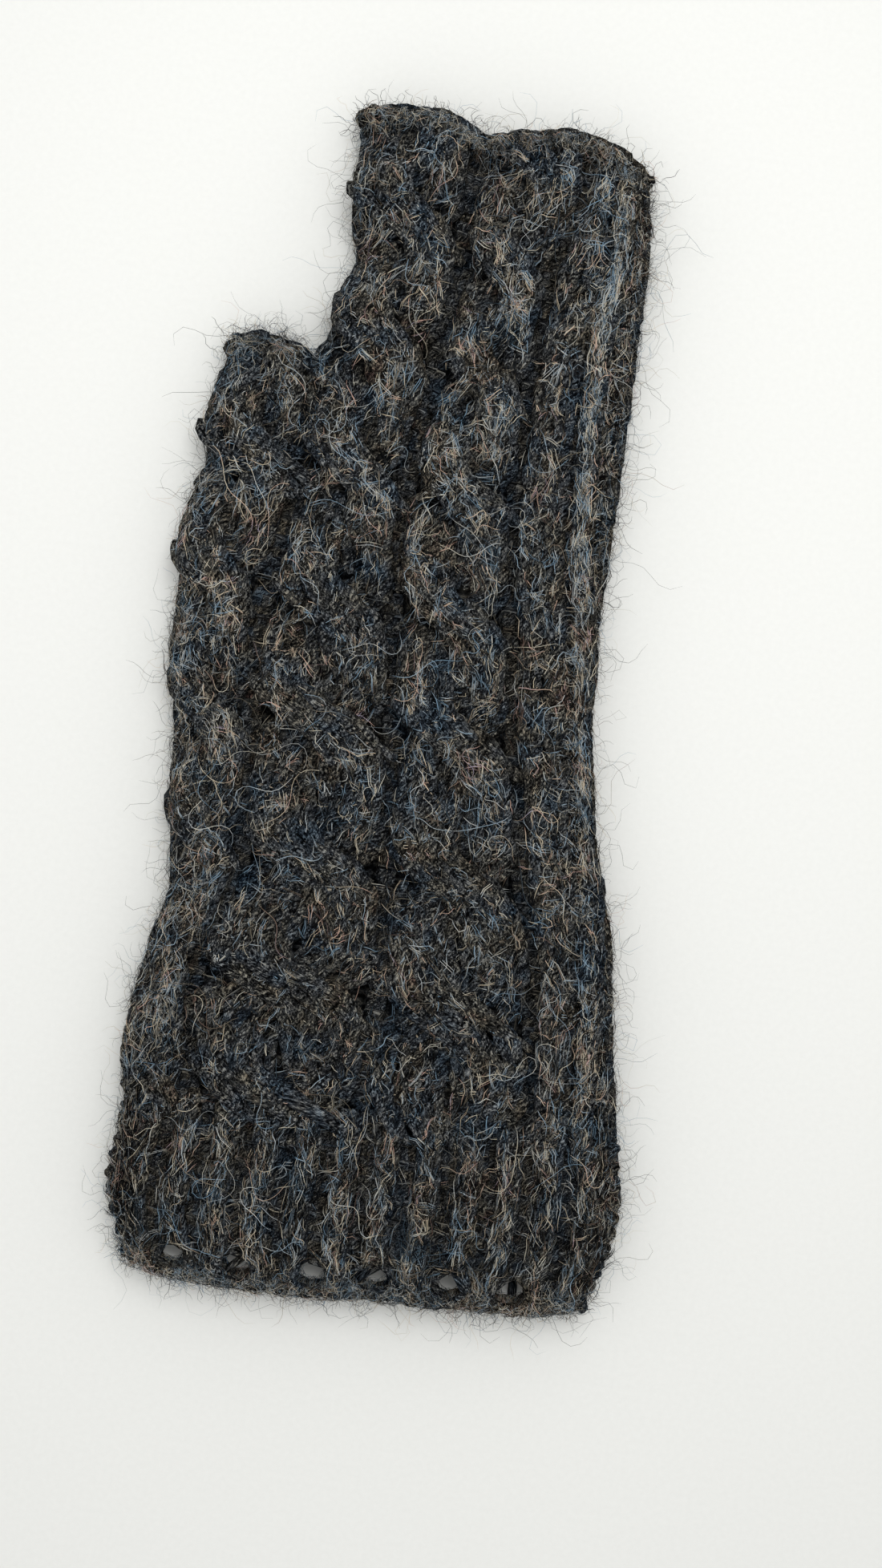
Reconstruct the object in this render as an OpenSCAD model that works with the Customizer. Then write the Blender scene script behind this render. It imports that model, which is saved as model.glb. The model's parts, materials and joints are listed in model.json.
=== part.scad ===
// Fingerless glove: one hand-knitted cabled mitt, lying flat with the back of the hand up.
// +X is to the right, +Y runs from the cuff to the fingers, +Z is up, and the table is at Z = 0.
// Stations are measured along the glove, in millimetres from the cast-on edge, and move to
// the glove's own middle only when a section is placed.

/* [Size] */
// Length from the cast-on edge to the top bind-off edge
glove_length = 222; // [205:1:240]
// Widest measure across the cuff
glove_width = 97; // [88:1:106]
// Height of the knitted tube without its cables
tube_height = 12; // [11:0.5:14]
// Height that cables stand above the tube
cable_height = 2; // [1:0.25:3]

/* [Fabric] */
// Thickness of the layer that lies on the table
lower_layer = 3.4; // [3:0.1:4]
// Thickness of the layer on the back of the hand
upper_layer = 3.4; // [3:0.1:4]
// Thickness of the fabric at the two side folds
side_layer = 4; // [3:0.1:4.5]
// Thickness of the fabric at the sides of the thumb
thumb_side_layer = 3.2; // [2.8:0.1:3.4]
// Width of a woven-in yarn end
yarn_width = 1.6; // [1:0.1:1.8]

/* [Cables] */
// Distance between two crossings of a cable
cable_pitch = 17.5; // [15:0.5:20]
// Half the width of a cable on the back of the hand
cable_half_width = 6; // [4:0.25:6.5]
// Half the width of the rib column beside the cables
rib_half_width = 3; // [2:0.25:4]
// Half the width of the rib on the thumb
thumb_rib_half_width = 2; // [1.5:0.25:2]

/* [Folds] */
// How far the cuff folds up at the wrist, in degrees
wrist_fold_angle = 75; // [30:5:75]
// How far the finger edge folds up at the knuckles, in degrees
knuckle_fold_angle = 75; // [30:5:75]
// How far the thumb folds up along its gusset, in degrees
thumb_fold_angle = 75; // [30:5:75]
// Clearance between two sections that meet at a fold
fold_gap = 0.4; // [0.3:0.1:0.8]

/* [Hidden] */
length_scale = glove_length / 222;
width_scale = glove_width / 97;

// Where the sections begin and end along the glove
hem_end = 4;
rib_end = 32;
cable_start = 36;
wrist_fold = 71;
gusset_cut = 118;
gusset_start = 124;
thumb_tube_start = 155;
knuckle_fold = 190;
thumb_edge_start = 172;
thumb_end = 175.5;
top_edge_start = 217.5;
glove_end = 222;

// The side outlines of the glove: [station, x]
left_outline = [
    [0, -42], [4, -43.5], [13, -46.5], [29, -45.5], [42, -46.5], [53, -46],
    [62, -44], [70, -42], [83, -43.5], [103, -45.5], [120, -48]
];
right_outline = [
    [0, 44.5], [5, 46.5], [19, 48.5], [36, 46.5], [53, 43.5], [70, 41], [79, 38.5],
    [91, 34.5], [101, 33], [113, 31], [130, 30.7], [163, 31], [196, 31], [212, 30.5],
    [217.5, 29.5], [222, 27.5]
];
// The left side of the hand from the thumb's tube up
hand_left_outline = [
    [155, -32], [165, -28.5], [173, -25.7], [184, -24], [193, -21.5], [198, -24],
    [205, -25], [222, -25]
];
// The two sides of the thumb
thumb_left_outline = [[118, -47.5], [142, -48.5], [151, -46], [160, -46.5], [175.5, -44]];
thumb_right_outline = [[155, -32.6], [163, -29.9], [169, -29.9], [175.5, -31.5]];

// The middle lines of the raised columns: [station, x]
left_cable_line = [
    [32, -20], [63, -17], [103, -19], [143, -19], [175, -14], [190, -11.5], [222, -12]
];
right_cable_line = [[32, 13], [63, 12], [103, 7], [143, 3], [175, 5], [222, 11]];
rib_line = [[32, 30], [63, 30], [103, 24.5], [143, 18], [190, 21], [222, 21]];
thumb_rib_line = [[146, -41.5], [155, -40], [172, -37.4]];

// The thumb folds along a line from the side of the glove up to the crotch
thumb_fold_foot = [-48, 110];
thumb_fold_crotch = [-26, 173];
thumb_fold_run = thumb_fold_crotch - thumb_fold_foot;
thumb_fold_slope = thumb_fold_run[0] / thumb_fold_run[1];
thumb_fold_stretch = norm(thumb_fold_run) / thumb_fold_run[1];
// Height of the three fold axes
fold_height = 9;

// Horizontal radius of the rounded sides, outside and inside
side_radius = 5;
thumb_side_radius = 4;
inner_radius = 1.2;
// Number of steps round each side, over each cable, and the longest step along the glove
side_steps = 6;
arch_steps = 4;
station_step = 5;
// Height of the step at the sides of a cable, and how much a cable narrows at a crossing
cable_lip = 0.3;
crossing_waist = 0.15;
cable_top_waist = 0.25;

// Woven-in yarn ends
tail_height = 1.2;
tail_length = 24;
thumb_tail_length = 14;

wool = [0.27, 0.26, 0.25];
wool_light = [0.36, 0.34, 0.32];
wool_dark = [0.17, 0.18, 0.20];
NO_FOLD = 0;

// Smooth curve through the points [station, x], level at every high and low point
function rise(points, i) =
    (points[i + 1][1] - points[i][1]) / (points[i + 1][0] - points[i][0]);
function slope(points, i) =
    let(last = len(points) - 1,
        before = rise(points, max(i - 1, 0)),
        after = rise(points, min(i, last - 1)))
    before * after <= 0 ? 0 : 2 * before * after / (before + after);
function span(points, y, i = 0) =
    i >= len(points) - 2 || y <= points[i + 1][0] ? i : span(points, y, i + 1);
function curve(points, y) =
    let(i = span(points, y),
        width = points[i + 1][0] - points[i][0],
        t = (y - points[i][0]) / width)
    points[i][1] * (1 + 2 * t) * (1 - t) ^ 2
    + slope(points, i) * width * t * (1 - t) ^ 2
    + points[i + 1][1] * t ^ 2 * (3 - 2 * t)
    - slope(points, i + 1) * width * t ^ 2 * (1 - t);

function stations(from, to) =
    let(steps = ceil((to - from) / station_step))
    [for (i = [0 : steps]) from + (to - from) * i / steps];

// How far a section draws back from its fold at height z, to clear the next one when folded
function draw_back(z, angle) =
    angle == NO_FOLD ? 0 : fold_gap / 2 + max(0, z - fold_height) * tan(angle / 2);
function fold_x(y) = thumb_fold_foot[0] + (y - thumb_fold_foot[1]) * thumb_fold_slope;
function thumb_draw_back(z) = draw_back(z, thumb_fold_angle) * thumb_fold_stretch;

// Half an ellipse round one side, as [x, z]: side is 1 on the right, going up, and -1 on the
// left, going down
function side_arc(x, radius, low, high, side) = [
    for (k = [0 : side_steps])
        let(turn = side * (180 * k / side_steps - 90))
        [x + side * radius * (cos(turn) - 1), (low + high) / 2 + (high - low) / 2 * sin(turn)]
];
// Round a whole tube
function tube_loop(left, right, radius, low, high) =
    concat(side_arc(right, radius, low, high, 1), side_arc(left, radius, low, high, -1));
// Round the hand, which is open towards the thumb
function hand_loop(y, right, radius, low, high) = concat(
    [[fold_x(y) + thumb_draw_back(low), low]],
    side_arc(right, radius, low, high, 1),
    [[fold_x(y) + thumb_draw_back(high), high]]
);
// Round the gusset, which is open towards the hand
function gusset_loop(y, left, radius, low, high) = concat(
    [[fold_x(y) - thumb_draw_back(high), high]],
    side_arc(left, radius, low, high, -1),
    [[fold_x(y) - thumb_draw_back(low), low]]
);

// Puts a loop at its station, drawn back where the section starts or ends at a fold
function row(loop, y, y_start, y_end, start_fold, end_fold) = [
    for (p = loop)
        let(shift = y == y_start ? draw_back(p[1], start_fold)
                  : y == y_end ? -draw_back(p[1], end_fold) : 0)
        [p[0] * width_scale, y * length_scale + shift - glove_length / 2, p[1]]
];

function quad(a, b, c, d) = [[a, b, c], [a, c, d]];

// The solid between an outer and an inner row of points at each station
module wall(outer, inner, closed) {
    rows = len(outer);
    columns = len(outer[0]);
    inside = rows * columns;
    last = closed ? columns - 1 : columns - 2;
    points = concat([for (r = outer) each r], [for (r = inner) each r]);
    function at(i, j) = i * columns + j % columns;
    skin = [
        for (i = [0 : rows - 2], j = [0 : last])
            each quad(at(i, j), at(i, j + 1), at(i + 1, j + 1), at(i + 1, j))
    ];
    lining = [for (f = skin) [inside + f[2], inside + f[1], inside + f[0]]];
    near_end = [
        for (j = [0 : last])
            each quad(at(0, j), inside + at(0, j), inside + at(0, j + 1), at(0, j + 1))
    ];
    far = rows - 1;
    far_end = [
        for (j = [0 : last])
            each quad(at(far, j), at(far, j + 1), inside + at(far, j + 1), inside + at(far, j))
    ];
    edge = columns - 1;
    first_side = [
        for (i = [0 : rows - 2])
            each quad(at(i, 0), at(i + 1, 0), inside + at(i + 1, 0), inside + at(i, 0))
    ];
    last_side = [
        for (i = [0 : rows - 2])
            each quad(at(i, edge), inside + at(i, edge), inside + at(i + 1, edge), at(i + 1, edge))
    ];
    sides = closed ? [] : concat(first_side, last_side);
    polyhedron(points, concat(skin, lining, near_end, far_end, sides));
}

// A closed stretch of knitted tube between two outlines
module tube(from, to, left, right, radius, side, start_fold = NO_FOLD, end_fold = NO_FOLD) {
    all = stations(from, to);
    wall(
        [for (y = all) row(
            tube_loop(curve(left, y), curve(right, y), radius, 0, tube_height),
            y, from, to, start_fold, end_fold)],
        [for (y = all) row(
            tube_loop(curve(left, y) + side, curve(right, y) - side, inner_radius,
                lower_layer, tube_height - upper_layer),
            y, from, to, start_fold, end_fold)],
        true
    );
}

// A raised column on the back of the glove; it narrows at every cable crossing
module raised_column(line, half_width, from, to, start_fold = NO_FOLD, end_fold = NO_FOLD) {
    function swell(y) = abs(cos(180 * y / cable_pitch));
    function reach(y) = half_width * (1 - crossing_waist + crossing_waist * swell(y));
    function height(y) =
        cable_height * (1 - cable_top_waist + cable_top_waist * swell(y)) - cable_lip;
    function across(y, k) = curve(line, y) - reach(y) * cos(180 * k / arch_steps);
    function arch(y) = [
        for (k = [arch_steps : -1 : 0])
            [across(y, k), tube_height + cable_lip + height(y) * sin(180 * k / arch_steps)]
    ];
    function floor_line(y) = [for (k = [arch_steps : -1 : 0]) [across(y, k), tube_height]];
    all = stations(from, to);
    wall(
        [for (y = all) row(arch(y), y, from, to, start_fold, end_fold)],
        [for (y = all) row(floor_line(y), y, from, to, start_fold, end_fold)],
        false
    );
}

// A yarn end woven in along the inside of the lower layer, with rounded tips
module yarn_tail(x, y, turn, length = tail_length) {
    translate([x * width_scale, y * length_scale - glove_length / 2, lower_layer])
        rotate([0, 0, turn])
            union() {
                translate([-yarn_width / 2, 0, 0])
                    cube([yarn_width, length, tail_height]);
                cylinder(h = tail_height, d = yarn_width, $fn = 24);
                translate([0, length, 0])
                    cylinder(h = tail_height, d = yarn_width, $fn = 24);
            }
}

// Cuff: cast-on round, ribbing, and the cabled wrist up to the wrist fold
module cast_on_edge() {
    color(wool_dark)
        tube(0, hem_end, left_outline, right_outline, side_radius, side_layer);
}
module ribbed_cuff() {
    color(wool)
        tube(hem_end, rib_end, left_outline, right_outline, side_radius, side_layer);
}
module wrist_tube() {
    color(wool)
        tube(rib_end, wrist_fold, left_outline, right_outline, side_radius, side_layer,
            end_fold = wrist_fold_angle);
}
module wrist_column(line, half_width) {
    raised_column(line, half_width, cable_start, wrist_fold, end_fold = wrist_fold_angle);
}
module left_cable_wrist() {
    color(wool_light) wrist_column(left_cable_line, cable_half_width);
}
module right_cable_wrist() {
    color(wool_light) wrist_column(right_cable_line, cable_half_width);
}
module rib_column_wrist() {
    color(wool_light) wrist_column(rib_line, rib_half_width);
}
module cast_on_tail() {
    color(wool_dark) yarn_tail(-37.5, 6, 0);
}

// Hand: a closed tube, then one open towards the gusset, then a closed one up to the knuckles
module lower_hand_tube() {
    color(wool)
        tube(wrist_fold, gusset_cut, left_outline, right_outline, side_radius, side_layer,
            start_fold = wrist_fold_angle);
}
module palm_tube() {
    all = stations(gusset_cut, thumb_tube_start);
    color(wool)
        wall(
            [for (y = all) row(
                hand_loop(y, curve(right_outline, y), side_radius, 0, tube_height),
                y, gusset_cut, thumb_tube_start, NO_FOLD, NO_FOLD)],
            [for (y = all) row(
                hand_loop(y, curve(right_outline, y) - side_layer, inner_radius,
                    lower_layer, tube_height - upper_layer),
                y, gusset_cut, thumb_tube_start, NO_FOLD, NO_FOLD)],
            false
        );
}
module upper_palm_tube() {
    color(wool)
        tube(thumb_tube_start, knuckle_fold, hand_left_outline, right_outline, side_radius,
            side_layer, end_fold = knuckle_fold_angle);
}
module hand_column(line, half_width) {
    raised_column(line, half_width, wrist_fold, knuckle_fold,
        wrist_fold_angle, knuckle_fold_angle);
}
module left_cable_hand() {
    color(wool_light) hand_column(left_cable_line, cable_half_width);
}
module right_cable_hand() {
    color(wool_light) hand_column(right_cable_line, cable_half_width);
}
module rib_column_hand() {
    color(wool_light) hand_column(rib_line, rib_half_width);
}
module thumb_joining_tail() {
    color(wool_dark) yarn_tail(-23, 157, -12);
}

// Finger edge: the open end above the knuckles
module finger_tube() {
    color(wool)
        tube(knuckle_fold, top_edge_start, hand_left_outline, right_outline, side_radius,
            side_layer, start_fold = knuckle_fold_angle);
}
module hand_bind_off_edge() {
    color(wool_dark)
        tube(top_edge_start, glove_end, hand_left_outline, right_outline, side_radius,
            side_layer);
}
module top_column(line, half_width) {
    raised_column(line, half_width, knuckle_fold, top_edge_start,
        start_fold = knuckle_fold_angle);
}
module left_cable_top() {
    color(wool_light) top_column(left_cable_line, cable_half_width);
}
module right_cable_top() {
    color(wool_light) top_column(right_cable_line, cable_half_width);
}
module rib_column_top() {
    color(wool_light) top_column(rib_line, rib_half_width);
}
module hand_bind_off_tail() {
    color(wool_dark) yarn_tail(23, 192, 0);
}

// Thumb: the gusset, a short tube and its bound-off edge
function thumb_width(y) = fold_x(y) - curve(thumb_left_outline, y);
function gusset_radius(y) =
    min(thumb_side_radius, 0.7 * (thumb_width(y) - thumb_draw_back(tube_height)));
function gusset_side(y) = min(thumb_side_layer, 0.55 * thumb_width(y));
module thumb_gusset() {
    all = stations(gusset_start, thumb_tube_start);
    color(wool)
        wall(
            [for (y = all) row(
                gusset_loop(y, curve(thumb_left_outline, y), gusset_radius(y), 0, tube_height),
                y, gusset_start, thumb_tube_start, NO_FOLD, NO_FOLD)],
            [for (y = all) row(
                gusset_loop(y, curve(thumb_left_outline, y) + gusset_side(y),
                    inner_radius / 2, lower_layer, tube_height - upper_layer),
                y, gusset_start, thumb_tube_start, NO_FOLD, NO_FOLD)],
            false
        );
}
module thumb_tube() {
    color(wool)
        tube(thumb_tube_start, thumb_edge_start, thumb_left_outline, thumb_right_outline,
            thumb_side_radius, thumb_side_layer);
}
module thumb_bind_off_edge() {
    color(wool_dark)
        tube(thumb_edge_start, thumb_end, thumb_left_outline, thumb_right_outline,
            thumb_side_radius, thumb_side_layer);
}
module thumb_rib() {
    color(wool_light)
        raised_column(thumb_rib_line, thumb_rib_half_width, thumb_rib_line[0][0],
            thumb_edge_start);
}
module thumb_bind_off_tail() {
    color(wool_dark) yarn_tail(-42.8, 130, 0, thumb_tail_length);
}

cast_on_edge();
ribbed_cuff();
wrist_tube();
left_cable_wrist();
right_cable_wrist();
rib_column_wrist();
cast_on_tail();
lower_hand_tube();
palm_tube();
upper_palm_tube();
left_cable_hand();
right_cable_hand();
rib_column_hand();
thumb_joining_tail();
finger_tube();
hand_bind_off_edge();
left_cable_top();
right_cable_top();
rib_column_top();
hand_bind_off_tail();
thumb_gusset();
thumb_tube();
thumb_bind_off_edge();
thumb_rib();
thumb_bind_off_tail();
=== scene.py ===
"""A hand-knitted fingerless glove in dark heathered wool, made stitch by stitch round the CAD frame.

Lengths are in millimetres until a mesh is written. A place on the glove is (x, y, z): x across, y along
from the cast-on edge and z up from the table. A value of y is called a station. mesh() moves y to
the CAD frame's origin.
"""

import json
import math

import bpy
import numpy as np
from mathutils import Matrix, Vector


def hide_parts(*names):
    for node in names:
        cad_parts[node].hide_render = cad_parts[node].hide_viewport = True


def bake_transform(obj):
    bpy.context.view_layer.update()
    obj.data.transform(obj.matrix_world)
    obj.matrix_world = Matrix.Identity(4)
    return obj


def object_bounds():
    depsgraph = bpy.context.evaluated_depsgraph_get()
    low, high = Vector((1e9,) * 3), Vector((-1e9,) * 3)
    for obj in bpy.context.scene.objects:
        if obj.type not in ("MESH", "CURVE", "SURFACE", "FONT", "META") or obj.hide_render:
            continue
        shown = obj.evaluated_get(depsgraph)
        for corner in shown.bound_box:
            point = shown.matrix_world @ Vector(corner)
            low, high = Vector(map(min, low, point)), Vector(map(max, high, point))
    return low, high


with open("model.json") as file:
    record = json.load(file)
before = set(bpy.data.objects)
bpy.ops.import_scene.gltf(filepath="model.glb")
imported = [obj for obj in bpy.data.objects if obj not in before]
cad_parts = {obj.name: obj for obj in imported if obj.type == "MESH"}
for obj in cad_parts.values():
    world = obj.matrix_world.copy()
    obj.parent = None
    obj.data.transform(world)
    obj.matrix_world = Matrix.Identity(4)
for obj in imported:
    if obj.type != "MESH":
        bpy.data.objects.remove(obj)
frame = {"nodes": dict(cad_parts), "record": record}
CAD_LOW, CAD_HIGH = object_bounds()

MM = 0.001
HALF_LENGTH = (CAD_HIGH.y - CAD_LOW.y) / 2 / MM
TOP = 222.0  # station of the glove's upper end
RNG = np.random.default_rng(20)
AMOUNT = 1.0  # share of the hairs that is laid

# ---------------------------------------------------------------- stitches and layers
ROW = 3.9  # height of one round of stitches
FIRST_ROW = 3.4  # station of the first round
ROWS = 56
YARN = 1.08  # radius of the yarn
LOOP_DEPTH = 0.85  # how far a loop goes in front of and behind the fabric's middle
LOOP_REACH = 0.98  # half a loop's height, in rows
LOOP_PINCH = 0.20  # how much a loop narrows at its neck, in wale widths
LOOP_UNEVEN = (0.07, 0.07, 0.06)  # how much loops differ in size, and in place across and along
INSET = 0.95  # from the glove's outline in to the fabric's middle
MIDDLE = 5.6  # height of the side folds
TOP_LIFT = 3.3  # from the side folds up to the middle of the upper layer
LOW_LIFT = 3.2  # and down to the middle of the lower layer
FOLD_REACH = 4.0  # how far in from its edge the fabric's side fold reaches
QUARTER = math.pi / 2 * (FOLD_REACH + TOP_LIFT) / 2  # length of the fabric round a quarter fold
UNDER_WALES = 28  # columns of the lower layer below the thumb's split
UNDER_HAND_WALES = 22  # and above it
THUMB_WALES = 6
THUMB_SPLIT = 150.0  # station where the thumb's tube parts from the hand
THUMB_ROWS_END = 172.5  # station that the thumb's last round stays below
THUMB_TOP = 175.5
HAND_BIND_OFF = 220.3
THUMB_BIND_OFF = THUMB_TOP - 1.2
CUFF_TOP = 31.0
CORE_DEPTH = 0.45  # how far the felted core's face lies below the fabric's middle
CORE_WALL = 0.8
CORE_START = 6.0  # stations of the core's two ends
CORE_END = 218.0
CORE_STEP = 1.6  # from one of the core's rings to the next
CORE_COLUMNS = 73

# Stations where one Blender piece ends and the next begins, clear of every fold
CUFF_PIECE_END = 95.0
HAND_PIECE_END = 173.0

# ---------------------------------------------------------------- guide lines: station, x
CENTRE_GUTTER = [
    (0, -0.5), (28, -0.3), (47, -1.8), (59, -0.8), (90, -3.4), (99, -3.6), (114, -6.2), (133, -8),
    (145, -8.4), (157, -8.2), (168, -6.2), (179, -5), (195, -3.2), (208, -3.6), (222, -2.6),
]
RIGHT_GUTTER = [
    (0, 26.5), (27, 26), (39, 30), (51, 29), (65, 27.5), (83, 22.5), (99, 20), (111, 17.2),
    (136, 13.8), (153, 12.2), (165, 12.2), (185, 12.6), (195, 13.5), (204, 16.3), (222, 20.5),
]
THUMB_GUTTER = [
    (0, -32), (30, -33), (52, -36.5), (61, -34.5), (80, -29.8), (100, -31), (123, -33), (137, -30.2),
    (150, -27.8),
]
EDGE_RIB = [
    (0, 39.5), (30, 40.5), (60, 38.5), (85, 34.8), (106, 31.2), (125, 28.2), (142, 25.9), (165, 24.5),
    (183, 24.3), (198, 25.8), (222, 25.5),
]
# How far the two ends of the glove draw back from straight: x, millimetres
HEM_RISE = [
    (-47, 4.8), (-40, 2.2), (-33, 0.5), (-20, 0.15), (-6, 0.2), (5, 1.2), (19, 1.5), (31, 1.8),
    (37, 2.4), (42, 3.2), (47, 5.2),
]
TOP_DROP = [
    (-27, 0.6), (-18, -0.3), (-9.6, -0.8), (-3, 2.9), (0, 2.9), (4.4, 1.4), (14.8, 0), (21, 1.7),
    (27.6, 5.2), (31, 9),
]
THUMB_DROP = [(-46, 1.0), (-40, -0.8), (-34.6, -0.3), (-30, 1.2), (-26, 1.2)]
HEM_REACH = 34.0  # how far from each end its shape is still felt
TOP_REACH = 34.0
# Open loops along the cast-on edge
HEM_HOLES = [-33.2, -20.7, -6.4, 5.2, 19.3, 31.2]
HOLE_RISE = 3.3  # from the cast-on edge up to an open loop's middle
HOLE_HALF = 1.4  # stitches this near to an open loop's middle are left out
HOLE_SIZE = (2.9, 2.0)  # from an open loop's middle to its yarn's middle, across and along
HOLE_FADE = 0.8  # how soon the yarn round an open loop lies undisturbed again
HOLE_CLEAR = 0.55  # the part of an open loop's size that hairs keep out of

# ---------------------------------------------------------------- the wales of the upper layer
# Each group of columns: wales, stitch (1 knit, -1 purl) and its crown as station, height off the middle
GROUPS = {
    "thumb_cable": (6, 1, [(0, 0.5)]),
    "thumb_gutter": (2, -1, [(100, -2.0), (130, -3.2)]),
    "left_cable": (6, 1, [(0, 0.9)]),
    "centre_gutter": (2, -1, [(60, -1.6), (100, -2.4), (135, -3.6)]),
    "right_cable": (6, 1, [(0, 1.0)]),
    "right_gutter": (2, -1, [(60, -2.4), (130, -3.2), (188, -3.2), (206, -1.3)]),
    "v_rib": (2, 1, [(0, 0.7)]),
    "fine_gutter": (1, -1, [(0, -0.7)]),
    "edge_rib": (2, 1, [(0, 1.3)]),
    "edge_gutter": (1, -1, [(0, -1.9)]),
    "edge": (2, -1, [(0, -0.5)]),
}
# Stations where each cable's strands cross; the strand in front climbs to the left
CROSSINGS = {
    "thumb_cable": (36, 59, 83, 106, 131, 154, 177, 200),
    "left_cable": (34, 57, 80.5, 106.4, 128, 154.5, 178, 201, 224),
    "right_cable": (31, 54.3, 80, 106.7, 129.1, 152, 173.5, 194.7, 216),
}
RIB_WALES = 50  # across the upper layer of the cuff: two knit, two purl
RIB_CROWN = 0.72  # heights of the ribbing's knit and purl columns
RIB_VALLEY = -1.05
CUFF_FOLD = 0.6  # the ribbing's height round its folds
UNDER_RIB = 0.3  # how far the lower layer's ribs stand off its middle
RIB_YARN = 0.82  # how thin the yarn is drawn in the ribbing
GUTTER = 2.6  # the right gutter's width
THUMB_WIDTH = [(0, 2.4), (110, 2.6), (130, 3.8), (150, 3.8)]  # station, the thumb gutter's width
CENTRE_WIDTH = [(0, 2.4), (140, 2.6), (165, 3.6), (222, 3.6)]  # station, the centre gutter's width
FINE_GUTTER = 1.5
EDGE_GUTTER = 2.0
EDGE_RIB_HALF = 1.35  # half the width of the rib beside the right edge, which carries a painted highlight
EDGE_RIB_HIGHLIGHT = (100, 202)  # stations between which the rib beside the right edge carries a painted highlight of pale hairs
FOLD_SHARE = 0.35  # how much of a column's height is left at the folds
CROWN_FALL = 0.3  # how much lower a group's outer wales are, as a share of its crown
STRAND_LIFT = [(0, 1.2), (90, 1.4), (140, 2.0), (222, 2.0)]  # station, lift of a cable's front strand
GROOVE = (217.4, 2.1, 2.1)  # the groove under the bind-off: station, half width and depth
STRAND_ROUND = 0.42  # how much lower a strand's outer wales are
STRAND_TURN = 2.4  # how suddenly the strands cross
STRAND_SPREAD = 0.62  # how much a strand widens where it crosses


def smoothstep(low, high, value):
    t = np.clip((value - low) / (high - low), 0, 1)
    return t * t * (3 - 2 * t)


def unit(v):
    return v / np.maximum(np.linalg.norm(v, axis=-1, keepdims=True), 1e-9)


def along_line(points, at):
    """Straight interpolation through listed points."""
    knots, values = np.array(points, float).T
    return np.interp(at, knots, values)


def guide(points, y):
    """A smoothed line through listed points."""
    fine = np.arange(points[0][0] - 12, points[-1][0] + 12.5, 0.5)
    kernel = np.hanning(17)
    padded = np.pad(along_line(points, fine), 8, mode="edge")
    return np.interp(y, fine, np.convolve(padded, kernel / kernel.sum(), mode="valid"))


# ---------------------------------------------------------------- the glove's outline
def outline(*nodes):
    """The left and right edges of some CAD tubes at their widest: stations, left and right."""
    points = np.concatenate(
        [np.array([v.co[:] for v in frame["nodes"][n].data.vertices]) / MM for n in nodes]
    )
    points[:, 1] += HALF_LENGTH
    widest = points[np.abs(points[:, 2] - 6) < 0.2]
    stations = np.unique(widest[:, 1].round(0))
    rings = [widest[np.abs(widest[:, 1] - s) < 1] for s in stations]
    left = np.array([ring[:, 0].min() for ring in rings]) + INSET
    right = np.array([ring[:, 0].max() for ring in rings]) - INSET
    return stations, left, right


BODY_EDGE = outline("cast_on_edge", "ribbed_cuff", "wrist_tube", "lower_hand_tube")
HAND_EDGE = outline("palm_tube", "upper_palm_tube", "finger_tube", "hand_bind_off_edge")
THUMB_EDGE = outline("thumb_gusset", "thumb_tube", "thumb_bind_off_edge")
GUSSET_START = 121.0  # station from which the gusset makes the left edge
PALM_START = 115.0  # station from which the palm's tube makes the right edge
# Where the thumb and the hand lie against each other
HAND_LEFT = [
    (148, -29.4), (158, -27.6), (167, -27.6), (174, -29.6), (178.5, -26), (183, -26), (188, -24.8),
    (193, -22.2), (198, -24), (205, -25), (222, -25),
]
THUMB_RIGHT = [(147, -28), (158, -26.8), (167, -27), (175.5, -29.8)]
THUMB_INSET = 1.0
THUMB_PART = (-25.5, 165, 190)  # left of this x and between these stations is the thumb's end


def left_edge(y):
    """The left edge of the main tube: the glove's own up to the split, then the hand's."""
    lower = np.interp(y, BODY_EDGE[0], BODY_EDGE[1])
    gusset = np.interp(y, THUMB_EDGE[0], THUMB_EDGE[1])
    upper = along_line(HAND_LEFT, y) + INSET
    return np.where(y < THUMB_SPLIT, np.where(y < GUSSET_START, lower, gusset), upper)


def right_edge(y):
    low = np.interp(y, BODY_EDGE[0], BODY_EDGE[2])
    high = np.interp(y, HAND_EDGE[0], HAND_EDGE[2])
    return np.where(y < PALM_START, low, high)


def thumb_edges(y):
    return np.interp(y, THUMB_EDGE[0], THUMB_EDGE[1]), along_line(THUMB_RIGHT, y) - THUMB_INSET


def end_bend(x, y):
    """Moves a point along y, so that the glove's two ends follow their real edges."""
    hem = along_line(HEM_RISE, x) * (1 - smoothstep(0, HEM_REACH, y))
    top = along_line(TOP_DROP, x) * smoothstep(TOP - TOP_REACH, TOP, y)
    edge, low, _ = THUMB_PART
    on_thumb = (x < edge) & (y < THUMB_TOP + 3)
    tip = along_line(THUMB_DROP, x) * smoothstep(low - 10, THUMB_TOP, y) * on_thumb
    return y + hem - top - tip


# ---------------------------------------------------------------- a flattened tube of fabric
def layer_length(left, right):
    return right - left - 2 * FOLD_REACH + 2 * QUARTER


def unrolled(x, left, right):
    """How far along a layer a point seen at x is, from the left fold's outermost point."""
    from_left = np.clip(x - left, 0, FOLD_REACH)
    from_right = np.clip(right - x, 0, FOLD_REACH)
    q_left = np.arccos(1 - from_left / FOLD_REACH) / (math.pi / 2) * QUARTER
    q_right = np.arccos(1 - from_right / FOLD_REACH) / (math.pi / 2) * QUARTER
    flat = np.clip(x - left - FOLD_REACH, 0, right - left - 2 * FOLD_REACH)
    return q_left + flat + (QUARTER - q_right)


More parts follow.
